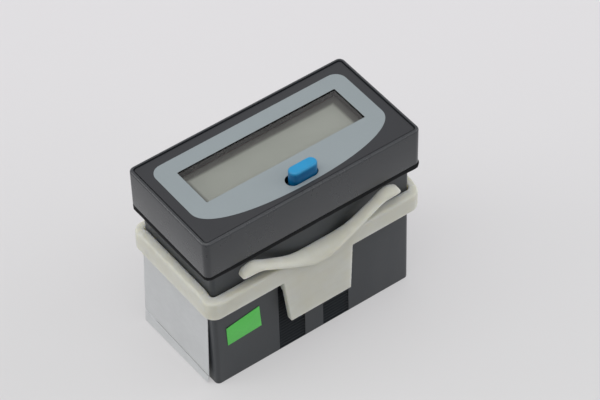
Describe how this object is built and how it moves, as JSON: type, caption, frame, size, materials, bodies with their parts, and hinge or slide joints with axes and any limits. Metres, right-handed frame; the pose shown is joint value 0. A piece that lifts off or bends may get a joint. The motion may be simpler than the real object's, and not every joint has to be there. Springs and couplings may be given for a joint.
{
  "type": "panel counter",
  "caption": "Rectangular panel-mount counter with a blank LCD window, a blue reset button, a gasketed bezel, a slide-on ratchet clamp and rear screw terminals.",
  "frame": {"origin": "centre of the rear face, on the plane the counter stands on in the picture", "axes": "+Z from the rear face towards the display, +X along the display, left to right as it is read, +Y towards the display's upper edge"},
  "size_m": [0.0484, 0.0276, 0.0423],
  "materials": {
    "black_plastic": "fine satin moulded black plastic",
    "dark_foil": "matt dark grey printed foil",
    "silver_ink": "satin silver grey ink",
    "clear_pane": "clear smooth plastic pane",
    "lcd_glass": "clear cell glass",
    "polariser": "grey green film",
    "reflector": "pearly reflective film",
    "zebra_rubber": "layered silicone",
    "holder_plastic": "off-white moulded plastic",
    "board": "green solder resist on glass epoxy",
    "chip_plastic": "black moulding compound",
    "ceramic_tan": "tan ceramic",
    "ceramic_black": "black film on ceramic",
    "plated_steel": "bright zinc or tin plate",
    "button_blue": "blue moulded plastic",
    "dome_silicone": "translucent pale silicone",
    "cell_sleeve": "plain shrink sleeve",
    "gasket_rubber": "soft black rubber",
    "clamp_plastic": "natural off-white plastic",
    "white_paper": "white label stock",
    "green_paper": "green label stock",
    "brass": "plain brass strip"
  },
  "bodies": {
    "instrument": {"front_bezel": "black_plastic", "front_foil": "dark_foil", "silver_print": "silver_ink", "window_pane": "clear_pane", "lcd_front_polariser": "polariser", "lcd_front_glass": "lcd_glass", "lcd_rear_glass": "lcd_glass", "lcd_reflector": "reflector", "zebra_strip_lower": "zebra_rubber", "zebra_strip_upper": "zebra_rubber", "lcd_holder": "holder_plastic", "circuit_board": "board", "counter_chip": "chip_plastic", "crystal": "plated_steel", "chip_capacitor_1": "ceramic_tan", "chip_capacitor_2": "ceramic_tan", "chip_capacitor_3": "ceramic_tan", "chip_resistor_1": "ceramic_black", "chip_resistor_2": "ceramic_black", "chip_resistor_3": "ceramic_black", "button_dome": "dome_silicone", "lithium_cell": "cell_sleeve", "cell_tab_positive": "plated_steel", "cell_tab_negative": "plated_steel", "housing": "black_plastic", "panel_gasket": "gasket_rubber", "white_label": "white_paper", "green_label": "green_paper", "terminal_block": "black_plastic", "terminal_contact_1": "brass", "clamp_plate_1": "plated_steel", "terminal_screw_1": "plated_steel", "terminal_contact_2": "brass", "clamp_plate_2": "plated_steel", "terminal_screw_2": "plated_steel", "terminal_contact_3": "brass", "clamp_plate_3": "plated_steel", "terminal_screw_3": "plated_steel", "terminal_contact_4": "brass", "clamp_plate_4": "plated_steel", "terminal_screw_4": "plated_steel", "terminal_contact_5": "brass", "clamp_plate_5": "plated_steel", "terminal_screw_5": "plated_steel"},
    "button": {"reset_button": "button_blue"},
    "clamp": {"mounting_clamp": "clamp_plastic"}
  },
  "joints": [
    {"name": "button_press", "type": "slide", "parent": "instrument", "child": "button", "axis": [0, 0, -1], "range_m": [0, 0.0009], "stiffness_N_per_m": 900, "deforming": ["button_dome"]},
    {"name": "clamp_slide", "type": "slide", "parent": "instrument", "child": "clamp", "axis": [0, 0, -1], "range_m": [0, 0.03]}
  ]
}
